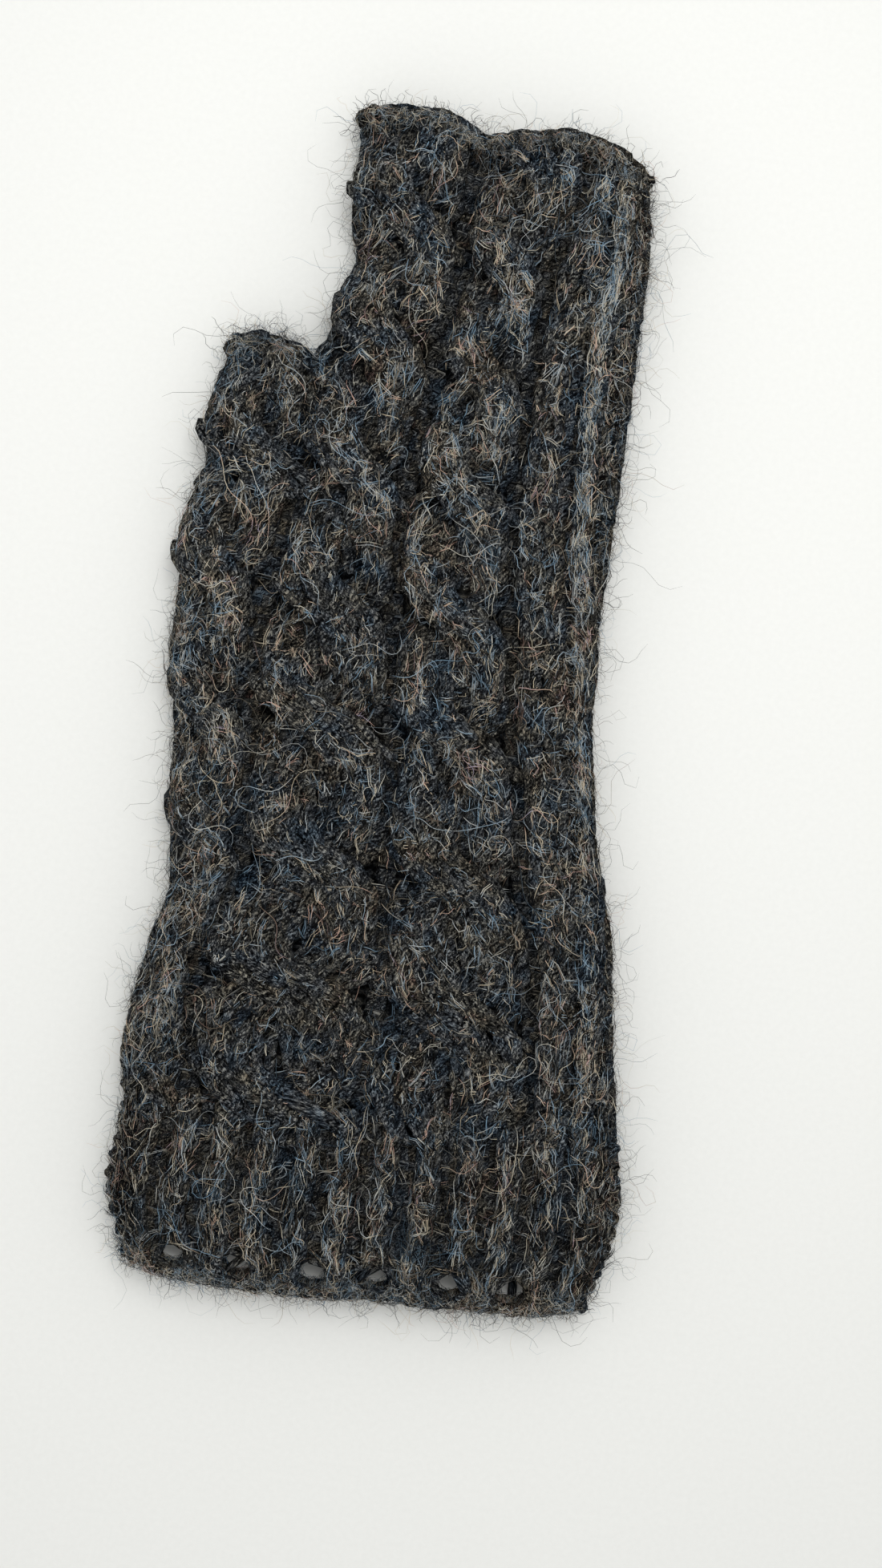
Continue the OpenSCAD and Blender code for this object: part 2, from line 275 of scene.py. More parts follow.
def surface(q, y, height, left, right, side):
    """Places on a layer, height off its middle. side is 1 for the upper layer and -1 for the lower."""
    width = right - left - 2 * FOLD_REACH
    a = np.clip(q / QUARTER, 0, 1) * math.pi / 2
    b = np.clip((q - QUARTER - width) / QUARTER, 0, 1) * math.pi / 2
    flat = np.clip(q - QUARTER, 0, width)
    x = left + FOLD_REACH * (1 - np.cos(a)) + flat + FOLD_REACH * np.sin(b)
    rise = np.sin(a) * np.cos(b)
    z = MIDDLE + side * (TOP_LIFT if side > 0 else LOW_LIFT) * rise
    outward = np.where(a < math.pi / 2, -np.cos(a), np.sin(b))
    return np.stack([x + outward * height, end_bend(x, y), z + side * rise * height], -1)


# ---------------------------------------------------------------- wales
def group_edges(y):
    """The x of every boundary between column groups at each station, left to right."""
    thumb, centre, right, rib = (
        guide(line, y) for line in (THUMB_GUTTER, CENTRE_GUTTER, RIGHT_GUTTER, EDGE_RIB)
    )
    left = left_edge(y)
    above = y >= THUMB_SPLIT
    fine = rib - EDGE_RIB_HALF - FINE_GUTTER
    return np.stack([
        left,
        np.where(above, left, thumb - along_line(THUMB_WIDTH, y) / 2),
        np.where(above, left + 0.4, thumb + along_line(THUMB_WIDTH, y) / 2),
        centre - along_line(CENTRE_WIDTH, y) / 2,
        centre + along_line(CENTRE_WIDTH, y) / 2,
        right - GUTTER / 2,
        right + GUTTER / 2,
        fine,
        fine + FINE_GUTTER,
        rib + EDGE_RIB_HALF,
        rib + EDGE_RIB_HALF + EDGE_GUTTER,
        right_edge(y),
    ])


def crown_heights(y):
    """Each group's crown at each station: (groups, stations)."""
    return np.array([np.interp(y, *np.array(crown, float).T) for _, _, crown in GROUPS.values()])


def groove(y):
    place, half, depth = GROOVE
    return -depth * np.exp(-(((y - place) / half) ** 2))


def ribbing(y):
    """1 in the cuff's ribbing, falling to 0 above it."""
    return 1 - smoothstep(CUFF_TOP - 3, CUFF_TOP + 5, y)


def cuff_ribs(count):
    """Purl two, knit two: the sign of each wale in the ribbing."""
    return np.where((np.arange(count) // 2) % 2 == 0, -1, 1)


def flatness(q, length):
    """1 on the flat of a layer, falling to 0 at its two folds."""
    return smoothstep(0, QUARTER, q) * smoothstep(0, QUARTER, length - q)


def cuff_wales(y):
    """The ribbing over the upper layer."""
    length = layer_length(left_edge(y), right_edge(y))
    centres = (np.arange(RIB_WALES) + 0.5)[:, None] / RIB_WALES * length
    widths = np.broadcast_to(length / RIB_WALES, centres.shape)
    signs = cuff_ribs(RIB_WALES)[:, None] * np.ones_like(centres)
    flat = flatness(centres, length)
    heights = np.where(signs > 0, RIB_CROWN, RIB_VALLEY) * flat + CUFF_FOLD * (1 - flat)
    return centres, widths, signs, heights


def cable_wale(name, k, count, start, end, y):
    """Where a cable's wale runs and how much its strand lifts it."""
    crossings = np.array(CROSSINGS[name], float)
    phase = np.interp(y, crossings, np.arange(len(crossings))) + 0.5
    strand = 1 if k < count // 2 else -1
    inner = (k % (count // 2)) - (count // 2 - 1) / 2
    swing = np.tanh(STRAND_TURN * np.cos(math.pi * phase)) / math.tanh(STRAND_TURN)
    width = (end - start) / count
    spread = 0.97 + STRAND_SPREAD * (1 - np.abs(swing))
    centre = (start + end) / 2 - strand * swing * width * count / 4 + inner * width * spread
    lift = -strand * np.sin(math.pi * phase) * along_line(STRAND_LIFT, y) - STRAND_ROUND * inner**2
    return centre, lift


def upper_wales(y, names):
    """The wales of the upper layer at each station: centre and width along the fabric, sign of the
    stitch and height off the middle, each (wales, stations), and each wale's group."""
    left, right = left_edge(y), right_edge(y)
    edges = [unrolled(edge, left, right) for edge in group_edges(y)]
    cabled = 1 - ribbing(y)
    crowns = crown_heights(y)
    centres, widths, signs, heights, groups = [], [], [], [], []
    for start, end, crown, (name, (count, sign, _)) in zip(edges, edges[1:], crowns, GROUPS.items()):
        for k in range(count):
            share = 2 * (k + 0.5) / count - 1
            centre = start + (end - start) * (k + 0.5) / count
            height = crown * (1 - CROWN_FALL * share**2 * (count > 2)) + groove(y)
            if name in CROSSINGS:
                woven, lift = cable_wale(name, k, count, start, end, y)
                centre = centre * ribbing(y) + woven * cabled
                height = height + lift * cabled
            centres.append(centre)
            widths.append((end - start) / count)
            signs.append(np.full_like(y, sign))
            heights.append(height)
            groups.append(name)
    centres, widths, signs, heights = map(np.array, (centres, widths, signs, heights))
    heights = heights * (FOLD_SHARE + (1 - FOLD_SHARE) * flatness(centres, layer_length(left, right)))
    chosen = np.array([name in names for name in groups])
    return [part[chosen] for part in (centres, widths, signs, heights)]


def plain_wales(count, length, y):
    """Even wales of knit stitches over a layer, ribbed at the cuff."""
    share = (np.arange(count) + 0.5) / count
    centres = share[:, None] * length
    widths = np.broadcast_to(length / count, centres.shape)
    ribs = cuff_ribs(count)[:, None] * np.ones_like(centres)
    in_cuff = y < CUFF_TOP
    return centres, widths, np.where(in_cuff, ribs, 1.0), np.where(in_cuff, UNDER_RIB * ribs, 0.0)


# ---------------------------------------------------------------- loops of yarn
def loops_of(place, along, across, out, signs, samples):
    """The yarn's path through each stitch, (stitches, samples, 3), and each stitch's outward side."""
    t = np.linspace(0, 2 * math.pi, samples)
    u = (t - math.pi) / (2 * math.pi) + LOOP_PINCH * np.sin(2 * t)
    v = -LOOP_REACH * np.cos(t)
    n = -np.cos(2 * t) * LOOP_DEPTH
    wobble = RNG.normal(0, 1, (*place.shape[:2], 3))
    in_size, sideways, lengthways = LOOP_UNEVEN
    size = 1 + in_size * wobble[..., :1]
    centre = place + sideways * across * wobble[..., 1:2] + lengthways * along * wobble[..., 2:3]
    path = (
        centre[..., None, :]
        + size[..., None] * across[..., None, :] * u[:, None]
        + along[..., None, :] * v[:, None]
        + signs[..., None, None] * out[..., None, :] * n[:, None]
    )
    return path.reshape(-1, samples, 3), out.reshape(-1, 1, 3)


def knit(y, left, right, wales, side, samples):
    """Stitches over one layer of a tube."""
    centres, widths, signs, heights = wales
    place = surface(centres, y, heights, left, right, side)
    after = surface(centres + widths * 0.25, y, heights, left, right, side)
    before = surface(centres - widths * 0.25, y, heights, left, right, side)
    across = unit(after - before)
    along = np.gradient(place, axis=1)
    out = unit(np.cross(across, unit(along)) * side)
    paths, up = loops_of(place, along, across * widths[..., None], out, signs, samples)
    x, station = paths[:, samples // 2, 0], np.tile(y, len(centres))
    hole = np.min(np.abs(x[:, None] - np.array(HEM_HOLES)), axis=1) < HOLE_HALF
    kept = ~(hole & (station < FIRST_ROW + 1))
    return hole_opened(paths[kept]), up[kept]


def hole_distance(points, x):
    """How far points are from an open loop's middle, in halves of its size, and the way out of it."""
    middle = np.array([x, end_bend(x, 0.0) + HOLE_RISE])
    away = (points[..., :2] - middle) / HOLE_SIZE
    return np.maximum(np.linalg.norm(away, axis=-1, keepdims=True), 0.05), away


def hole_opened(points):
    """Draws yarn aside round each open loop of the cast-on edge."""
    for x in HEM_HOLES:
        far, away = hole_distance(points, x)
        points[..., :2] += away / far * np.exp(-HOLE_FADE * far**2) * HOLE_SIZE
    return points


UPPER_SAMPLES, LOWER_SAMPLES = 14, 10
CABLES = ("thumb_cable", "left_cable", "right_cable")


def knit_glove():
    """Every stitch, in three families: the upper layer, its cables and the lower layer."""
    rows = FIRST_ROW + ROW * np.arange(ROWS)
    upper, cables, lower = [], [], []
    plain = [name for name in GROUPS if name not in CABLES]
    y = rows[rows < CUFF_TOP]
    left, right = left_edge(y), right_edge(y)
    upper.append(knit(y, left, right, cuff_wales(y), 1, UPPER_SAMPLES))
    under = plain_wales(UNDER_WALES, layer_length(left, right), y)
    lower.append(knit(y, left, right, under, -1, LOWER_SAMPLES))
    rows = rows[rows > CUFF_TOP]
    for y, thumb in ((rows[rows < THUMB_SPLIT], True), (rows[rows >= THUMB_SPLIT], False)):
        left, right = left_edge(y), right_edge(y)
        crossed = CABLES if thumb else CABLES[1:]
        rest = plain if thumb else plain[1:]
        upper.append(knit(y, left, right, upper_wales(y, rest), 1, UPPER_SAMPLES))
        cables.append(knit(y, left, right, upper_wales(y, crossed), 1, UPPER_SAMPLES))
        count = UNDER_WALES if thumb else UNDER_HAND_WALES
        under = plain_wales(count, layer_length(left, right), y)
        lower.append(knit(y, left, right, under, -1, LOWER_SAMPLES))
    y = rows[(rows >= THUMB_SPLIT) & (rows < THUMB_ROWS_END)]
    left, right = thumb_edges(y)
    wales = list(plain_wales(THUMB_WALES, layer_length(left, right), y))
    lower.append(knit(y, left, right, wales, -1, LOWER_SAMPLES))
    wales[0], lift = thumb_cable(y, left, right)
    wales[3] = wales[3] + lift
    cables.append(knit(y, left, right, wales, 1, UPPER_SAMPLES))
    return [tuple(map(np.concatenate, zip(*family))) for family in (upper, cables, lower)]


def thumb_cable(y, left, right):
    """The cable that runs on from the gusset up the thumb."""
    length = layer_length(left, right)
    start, end = length * 0.02, length * 0.98
    wales = [cable_wale("thumb_cable", k, THUMB_WALES, start, end, y) for k in range(THUMB_WALES)]
    share = 2 * (np.arange(THUMB_WALES) + 0.5) / THUMB_WALES - 1
    crown = 0.5 * (1 - share**2)[:, None]
    centres, lifts = np.array([centre for centre, _ in wales]), np.array([lift for _, lift in wales])
    return centres, lifts * (FOLD_SHARE + (1 - FOLD_SHARE) * flatness(centres, length)) + crown


# ---------------------------------------------------------------- edges and core
BIND_PITCH = 3.0  # from one bound-off stitch to the next
BIND_WIDTH = 3.3
BIND_TILT = (0.8, 0.6)  # how far the bound-off stitches face outwards, and how far upwards
EDGE_SAMPLES = 14
CORD_STRAND = 0.62  # radius of a strand of the cast-on cord
CORD_LAY = 0.5  # from the cord's middle to a strand's
CORD_PITCH = 5.2  # length of one turn of the cast-on cord
CORD_RISE = 1.1
CORD_WAVE = 0.25
SCALLOP = 0.2
SCALLOP_HALF = 2.6


def ring_round(left, right, pitch):
    """Places evenly round a tube's opening, over the upper layer and back under: q, side."""
    length = float(layer_length(left, right))
    count = 2 * round(length / pitch)
    s = (np.arange(count) + 0.5) / count * 2 * length
    upper = s < length
    return np.where(upper, s, 2 * length - s), np.where(upper, 1, -1)


def ring_places(y, left, right, q, side, height):
    top = surface(q, np.full_like(q, y), height, left, right, 1)
    low = surface(q, np.full_like(q, y), height, left, right, -1)
    return np.where(side[:, None] > 0, top, low)


def bound_edge(y, left, right, rise):
    """A bind-off chain round an opening: stitches that lie on their sides."""
    q, side = ring_round(left, right, BIND_PITCH)
    place = ring_places(y, left, right, q, side, rise)
    along = (np.roll(place, -1, axis=0) - np.roll(place, 1, axis=0)) / 2
    upright = np.array([0.0, 1.0, 0.0])
    out = unit(np.cross(along, upright) * -1)
    tilt = unit(BIND_TILT[0] * out + BIND_TILT[1] * upright)
    across = unit(np.cross(tilt, along)) * BIND_WIDTH
    signs = np.ones(len(place))
    return loops_of(*(part[None] for part in (place, along, across, tilt, signs)), EDGE_SAMPLES)


def cast_on_cord(left, right, steps=420):
    """Two strands twisted round each other along the cast-on edge, sagging under each open loop."""
    length = float(layer_length(left, right))
    s = np.linspace(0, 2 * length, steps)
    side = np.where(s < length, 1, -1)
    q = np.where(s < length, s, 2 * length - s)
    flat = ring_places(0.0, left, right, q, side, 0.0)
    gap = np.min(np.abs(flat[:, :1] - np.array(HEM_HOLES)), axis=1)
    flat[:, 1] += CORD_RISE - SCALLOP * np.exp(-((gap / SCALLOP_HALF) ** 2)) + CORD_WAVE * np.sin(s * 1.3)
    flat = hole_opened(flat)
    tangent = unit(np.gradient(flat, axis=0))
    upright = np.array([0.0, 1.0, 0.0])
    out = unit(np.cross(tangent, upright))
    over = np.cross(out, tangent)
    strands = []
    for start in (0, math.pi):
        turn = (s * 2 * math.pi / CORD_PITCH + start)[:, None]
        strands.append(flat + CORD_LAY * (np.cos(turn) * out + np.sin(turn) * over))
    return np.array(strands), np.repeat(upright[None, None], 2, axis=0)


def crown_profile(y, q):
    """How high the upper layer stands off its middle at places (stations, q) along it."""
    left, right = left_edge(y), right_edge(y)
    edges = np.array([unrolled(edge, left, right) for edge in group_edges(y)])
    width = edges[1:] - edges[:-1]
    knots = np.stack([edges[:-1] + 0.12 * width, edges[1:] - 0.12 * width], 1).reshape(-1, len(y))
    crowns = np.repeat(crown_heights(y), 2, axis=0)
    ribbed = ribbing(y)[:, None]
    cabled = np.array([np.interp(q[i], knots[:, i], crowns[:, i]) for i in range(len(y))])
    return cabled * (1 - ribbed) + RIB_VALLEY * ribbed + groove(y)[:, None]


def core_rings(y, left, right, crown):
    """Rings of the felted core, outer face and inner face: (stations, points, 3) each."""
    length = layer_length(left, right)
    share = np.linspace(0, 1, CORE_COLUMNS)
    q = length[:, None] * share
    height = crown(y, q) - CORE_DEPTH if crown else np.full_like(q, -CORE_DEPTH)
    faces = []
    for sunk in (0, CORE_WALL):
        sides = []
        for side in (1, -1):
            lift = height if side > 0 else np.full_like(q, -CORE_DEPTH)
            edges = left[:, None], right[:, None]
            sides.append(surface(q, y[:, None], lift - sunk, *edges, side))
        faces.append(np.concatenate([sides[0], sides[1][:, -2:0:-1]], axis=1))
    return faces


def wall_mesh(outer, inner):
    """A tube with a wall, closed at both ends, from rings of its two faces."""
    rows, count = outer.shape[:2]
    points = np.concatenate([outer.reshape(-1, 3), inner.reshape(-1, 3)])
    i = np.arange(rows - 1)[:, None] * count
    j = np.arange(count)[None, :]
    k = (j + 1) % count
    face = np.stack([i + j, i + k, i + count + k, i + count + j], -1).reshape(-1, 4)
    away = rows * count
    j, k = j[0], k[0]
    last = (rows - 1) * count
    first_rim = np.stack([j, away + j, away + k, k], -1)
    last_rim = np.stack([last + j, last + k, away + last + k, away + last + j], -1)
    quads = np.concatenate([face, face[:, ::-1] + away, first_rim, last_rim])
    return points, quads.reshape(-1), np.full(len(quads), 4)


# ---------------------------------------------------------------- meshes
def mesh(name, points, loops, sizes, attributes, material):
    """A mesh object from points in millimetres, polygons and point attributes."""
    data = bpy.data.meshes.new(name)
    placed = (points - [0, HALF_LENGTH, 0]) * MM
    data.vertices.add(len(placed))
    data.vertices.foreach_set("co", placed.ravel())
    data.loops.add(len(loops))
    data.loops.foreach_set("vertex_index", loops)
    data.polygons.add(len(sizes))
    data.polygons.foreach_set("loop_start", np.concatenate([[0], np.cumsum(sizes)[:-1]]))
    data.polygons.foreach_set("loop_total", sizes)
    data.polygons.foreach_set("use_smooth", np.ones(len(sizes), bool))
    for key, values in attributes.items():
        layer = data.attributes.new(key, "FLOAT_VECTOR", "POINT")
        layer.data.foreach_set("vector", np.ravel(values))
    data.update()
    data.materials.append(material)
    piece = bpy.data.objects.new(name, data)
    bpy.context.scene.collection.objects.link(piece)
    return piece


def tubes(paths, radii, sides, up, tone, twist=0.0, lobe=0.0):
    """Closed tubes along paths (n, k, 3): points, loops, polygon sizes and attributes. up (n, 1, 3) is
    a direction that no path runs along for long, and tone (n, 2) is each tube's own two numbers."""
    count, steps = paths.shape[:2]
    tangent = unit(np.gradient(paths, axis=1))
    side = unit(np.cross(tangent, up))
    normal = np.cross(side, tangent)
    step = np.linalg.norm(np.diff(paths, axis=1), axis=-1)
    length = np.concatenate([np.zeros((count, 1)), np.cumsum(step, axis=1)], axis=1)
    angle = np.arange(sides) * 2 * math.pi / sides
    ply = angle + twist * length[..., None]
    radius = radii[..., None] * (1 + lobe * np.cos(2 * ply))
    ring = np.cos(angle)[:, None] * side[:, :, None, :] + np.sin(angle)[:, None] * normal[:, :, None, :]
    points = (paths[:, :, None, :] + radius[..., None] * ring).reshape(-1, 3)
    base = (np.arange(count) * steps * sides)[:, None, None]
    at = base + (np.arange(steps - 1) * sides)[None, :, None]
    j = np.arange(sides)[None, None, :]
    k = (j + 1) % sides
    quads = np.stack([at + j, at + k, at + sides + k, at + sides + j], -1).reshape(-1)
    first = (base[:, 0] + np.arange(sides)[::-1]).reshape(-1)
    last = (base[:, 0] + (steps - 1) * sides + np.arange(sides)).reshape(-1)
    loops = np.concatenate([quads, first, last])
    sizes = np.concatenate([np.full(len(quads) // 4, 4), np.full(2 * count, sides)])
    start = RNG.uniform(0, 400, (count, 1, 1))
    along = np.broadcast_to(length[..., None] + start, ply.shape)
    attributes = {
        "yarn": np.stack([along, np.cos(ply), np.sin(ply)], -1).reshape(-1, 3),
        "rest": points.copy(),
        "tone": np.pad(np.repeat(tone, steps * sides, axis=0), ((0, 0), (0, 1))),
    }
    return points, loops, sizes, attributes


# ---------------------------------------------------------------- materials
def srgb(red, green, blue):
    """A colour picked in display values, 0 to 255, as linear numbers."""
    return tuple(
        c / 12.92 if c <= 0.04045 else ((c + 0.055) / 1.055) ** 2.4
        for c in (red / 255, green / 255, blue / 255)
    )


def grey(value):
    return (value, value, value)


def shade_tinted(value):
    """A grey with a little blue in it: on the dark values of the wool and hairs it is partly their own
    cool colour and partly a painted bluish cast of shade.
    """
    return (0.94 * value, value, 1.16 * value)


def new_material(name):
    material = bpy.data.materials.new(name)
    material.use_nodes = True
    tree = material.node_tree
    return material, tree, tree.nodes["Principled BSDF"]


def attribute(tree, name, scale=1.0, across=None):
    """A point attribute as a vector, scaled along its first axis and across the others."""
    source = tree.nodes.new("ShaderNodeAttribute")
    source.attribute_name = name
    mapping = tree.nodes.new("ShaderNodeMapping")
    across = scale if across is None else across
    mapping.inputs["Scale"].default_value = (scale, across, across)
    tree.links.new(source.outputs["Vector"], mapping.inputs["Vector"])
    return mapping.outputs["Vector"]


def noise(tree, vector, scale=1.0, detail=3.0, roughness=0.6):
    node = tree.nodes.new("ShaderNodeTexNoise")
    node.inputs["Scale"].default_value = scale
    node.inputs["Detail"].default_value = detail
    node.inputs["Roughness"].default_value = roughness
    tree.links.new(vector, node.inputs["Vector"])
    return node.outputs["Fac"]


def ramp(tree, factor, stops):
    node = tree.nodes.new("ShaderNodeValToRGB")
    elements = node.color_ramp.elements
    while len(elements) < len(stops):
        elements.new(0.5)
    for element, (position, colour) in zip(elements, stops):
        element.position = position
        element.color = (*colour, 1)
    tree.links.new(factor, node.inputs["Fac"])
    return node.outputs["Color"]


def multiplied(tree, first, second):
    node = tree.nodes.new("ShaderNodeMix")
    node.data_type = "RGBA"
    node.blend_type = "MULTIPLY"
    node.inputs[0].default_value = 1.0
    tree.links.new(first, node.inputs[6])
    tree.links.new(second, node.inputs[7])
    return node.outputs[2]


def sum_of(tree, first, second, weight):
    """first + weight * (second - 0.5), kept from 0 to 1."""
    scaled = tree.nodes.new("ShaderNodeMath")
    scaled.operation = "MULTIPLY_ADD"
    scaled.inputs[1].default_value = weight
    scaled.inputs[2].default_value = -weight / 2
    tree.links.new(second, scaled.inputs[0])
    total = tree.nodes.new("ShaderNodeMath")
    total.operation = "ADD"
    total.use_clamp = True
    tree.links.new(first, total.inputs[0])
    tree.links.new(scaled.outputs[0], total.inputs[1])
    return total.outputs[0]


def tone(tree, axis):
    source = tree.nodes.new("ShaderNodeAttribute")
    source.attribute_name = "tone"
    split = tree.nodes.new("ShaderNodeSeparateXYZ")
    tree.links.new(source.outputs["Vector"], split.inputs[0])
    return split.outputs[axis]


# The heather's families of colour, from cold to warm
HEATHER = [
    (0.18, srgb(122, 151, 172)), (0.34, srgb(162, 177, 187)), (0.46, srgb(194, 196, 193)),
    (0.58, srgb(207, 202, 185)), (0.70, srgb(206, 192, 166)), (0.84, srgb(202, 166, 150)),
    (0.96, srgb(178, 170, 187)),
]


def heather(tree, own_weight):
    """The wool's colour: drifting over the glove, with each yarn or hair a little off its place."""
    patches = noise(tree, attribute(tree, "rest", 0.15), detail=3)
    return ramp(tree, sum_of(tree, patches, tone(tree, 1), own_weight), HEATHER)


def wool(name, low, high):
    """Plied yarn: dark, with paler fibres that run along its twist."""
    material, tree, shader = new_material(name)
    streaks = noise(tree, attribute(tree, "yarn", 0.3, 2.8), detail=5, roughness=0.72)
    # the dark and middle values carry a painted bluish cast of shade
    light = ramp(tree, streaks, [(0.44, shade_tinted(low)), (0.54, shade_tinted(high / 7)), (0.66, grey(high))])
    tree.links.new(multiplied(tree, heather(tree, 0.25), light), shader.inputs["Base Color"])
    rough = ramp(tree, streaks, [(0.3, grey(0.95)), (0.7, grey(0.7))])
    tree.links.new(rough, shader.inputs["Roughness"])
    bump = tree.nodes.new("ShaderNodeBump")
    bump.inputs["Strength"].default_value = 0.8
    bump.inputs["Distance"].default_value = 0.0003
    tree.links.new(streaks, bump.inputs["Height"])
    tree.links.new(bump.outputs["Normal"], shader.inputs["Normal"])
    shader.inputs["Specular IOR Level"].default_value = 0.0
    return material


def hair_wool():
    """Single wool hairs: each has its own brightness and its own place in the heather."""
    material, tree, shader = new_material("wool_hairs")
    # the dark hairs carry a painted bluish cast of shade
    dark = [(0.0, shade_tinted(0.003)), (0.38, shade_tinted(0.022))]
    pale = [(0.61, grey(0.23)), (0.82, grey(1.0)), (1.0, grey(1.0))]
    light = ramp(tree, tone(tree, 0), dark + pale)
    tree.links.new(multiplied(tree, heather(tree, 0.55), light), shader.inputs["Base Color"])
    rough = ramp(tree, tone(tree, 0), [(0.0, grey(0.8)), (1.0, grey(0.5))])
    tree.links.new(rough, shader.inputs["Roughness"])
    shader.inputs["Specular IOR Level"].default_value = 0.03
    return material


# ---------------------------------------------------------------- pieces
# Each piece's stations, bodies, and where the second body takes over from the first
PIECES = {
    "cuff": (-50, CUFF_PIECE_END, ("cuff", "hand"), 51, 91),
    "hand": (CUFF_PIECE_END, HAND_PIECE_END, ("hand", "thumb"), 0, 7),
    "top": (HAND_PIECE_END, 400, ("hand", "fingers"), 174, 206),
}


def bend(piece):
    """Bakes a piece's placement into its mesh."""
    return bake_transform(piece)


def parts_of(x, y):
    """The piece that each place belongs to. The thumb's own end stays with the hand's piece."""
    part = np.where(y < CUFF_PIECE_END, "cuff", np.where(y < HAND_PIECE_END, "hand", "top"))
    edge, low, high = THUMB_PART
    return np.where((x < edge) & (y > low) & (y < high), "hand", part)


def lay(name, slot, material, paths, up, sides, radii, tones, **options):
    """Tubes along paths, cut into the glove's three pieces by where each path's middle lies."""
    middle = paths[:, paths.shape[1] // 2]
    belongs = parts_of(middle[:, 0], middle[:, 1])
    for part in PIECES:
        chosen = belongs == part
        if chosen.any():
            shape = tubes(paths[chosen], radii[chosen], sides, up[chosen], tones[chosen], **options)
            piece = mesh(f"{name}_{part}", *shape, material)
            bend(piece) or piece


def lay_yarn(name, slot, material, paths, up, sides):
    """Plied yarn along stitch paths, kept just above the table."""
    count, steps = paths.shape[:2]
    ends = np.ones(steps)
    ends[[0, -1]] = 0.72
    drawn = np.where(paths[:, steps // 2, 1] < CUFF_TOP, RIB_YARN, 1.0)[:, None]
    radii = YARN * drawn * ends * RNG.uniform(0.94, 1.06, (count, 1))
    paths[..., 2] = np.maximum(paths[..., 2], radii * 1.1 + 0.12)
    tones = RNG.uniform(0, 1, (count, 2))
    lay(name, slot, material, paths, up, sides, radii, tones, twist=0.9, lobe=0.10)


def lay_core(name, y, left, right, crown, part, material):
    outer, inner = core_rings(y, left, right, crown)
    points, loops, sizes = wall_mesh(outer, inner)
    yarn = points * [1, 0.3, 0.3]
    shape = {"yarn": yarn, "rest": points.copy(), "tone": np.full_like(points, 0.5)}
    piece = mesh(name, points, loops, sizes, shape, material)
    bend(piece)
    return outer.reshape(-1, 3)


# Each stretch of the core: the piece it belongs to and its first and last stations
CORES = {
    "core_cuff": ("cuff", CORE_START, CUFF_PIECE_END),
    "core_hand": ("hand", CUFF_PIECE_END, THUMB_SPLIT - 0.1),
    "core_upper_hand": ("hand", THUMB_SPLIT, HAND_PIECE_END),
    "core_top": ("top", HAND_PIECE_END, CORE_END),
}


def lay_cores(material):
    """The felted middle of the fabric, which closes the gaps between stitches and is coloured darker than
    the yarn as painted shade in them: its outer points.
    """
    faces = []
    for name, (part, low, high) in CORES.items():
        y = np.linspace(low, high, round((high - low) / CORE_STEP))
        faces.append(lay_core(name, y, left_edge(y), right_edge(y), crown_profile, part, material))
    y = np.linspace(THUMB_SPLIT - 3, THUMB_TOP - 3, 15)
    faces.append(lay_core("core_thumb", y, *thumb_edges(y), None, "hand", material))
    return np.concatenate(faces)


# ---------------------------------------------------------------- woven-in ends
# Start x and y, heading in degrees from +x and length of each end of yarn inside the glove
TAILS = {
    "cast_on_tail": (-37.5, 6, 90, 24),
    "thumb_joining_tail": (-23, 157, -12, 24),
    "hand_bind_off_tail": (23, 192, 90, 24),
    "thumb_bind_off_tail": (-42.8, 130, 90, 14),
}
TAIL_HEIGHT = 4.0
TAIL_RADIUS = 0.75
TAIL_END = 0.4  # its radius at the ends
TAIL_STEPS = 24


def lay_tails(yarn):
    """Each woven-in end is one slightly wavy length of yarn."""
    s = np.linspace(0, 1, TAIL_STEPS)[:, None]
    radii = np.full((1, TAIL_STEPS), TAIL_RADIUS)
    radii[0, [0, -1]] = TAIL_END
    up = np.array([[[0.1, 0.1, 1.0]]])
    tones = np.full((1, 2), 0.5)
    for name, (x, y, turn, length) in TAILS.items():
        run = np.array([math.cos(math.radians(turn)), math.sin(math.radians(turn)), 0])
        path = np.array([x, y, TAIL_HEIGHT]) + s * length * run
        path[:, 0] += 0.5 * np.sin(9 * s[:, 0])
        lay(name, "knit_fabric", yarn, path[None], up, 8, radii, tones, twist=1.2, lobe=0.1)


# ---------------------------------------------------------------- hairs
CELL = 0.5  # of the height maps
GRID_LOW = np.array([-70.0, -20.0])
GRID_SIZE = (280, 530)
BEYOND = 4.5  # height that hairs keep where there is no fabric under them
LOWEST = 0.25  # no hair comes nearer to the table
VALLEY_SPAN = 4.0
VALLEY_DROP = -0.6  # hairs that dip deeper into a valley than this are left out
OUTLINE_WIDTH = 2.0
OUTLINE_SLACK = 2.5  # how far past the fabric's middle a hair of the surface may reach
RIDGE_SPAN = 6.0
RIDGE_PAINTED_LIGHT = 0.11  # painted light and shade: how much paler hairs are for each millimetre they stand above their surroundings, and darker for each millimetre below
# Painted shade: how much darker the hairs of the cuff are made
CUFF_PAINTED_SHADE = 0.06
# Painted shade: how much darker the hairs over the side folds are made
SIDE_PAINTED_SHADE = 0.16
RIGHT_SHADE = (4.6, 1.5)  # from the right edge: where the darker hairs start, and are darkest
LEFT_SHADE = (7, 1.5)
LEFT_SHADE_END = (110, 80)  # stations
# Radii of the hairs over the fabric, of those on the edges and of those that stand out
SURFACE_HAIR = (0.038, 0.075)
EDGE_HAIR = (0.026, 0.052)
HALO_HAIR = (0.02, 0.034)
HAIR_REACH = 9.0  # how far past the CAD's box a hair may go
HAIR_LOW = np.array([CAD_LOW.x / MM - HAIR_REACH, -HAIR_REACH, 0.1])
HAIR_HIGH = np.array([CAD_HIGH.x / MM + HAIR_REACH, 2 * HALF_LENGTH + HAIR_REACH, CAD_HIGH.z / MM + 6])
# Where hairs stand out: a random number up to these is for the hem, the top and the thumb's end
HALO_SHARES = (0.3, 0.42, 0.47)
HEM_SPAN = (-43, 43)
TOP_SPAN = (-23, 28)
TIP_SPAN = (-43, -33)


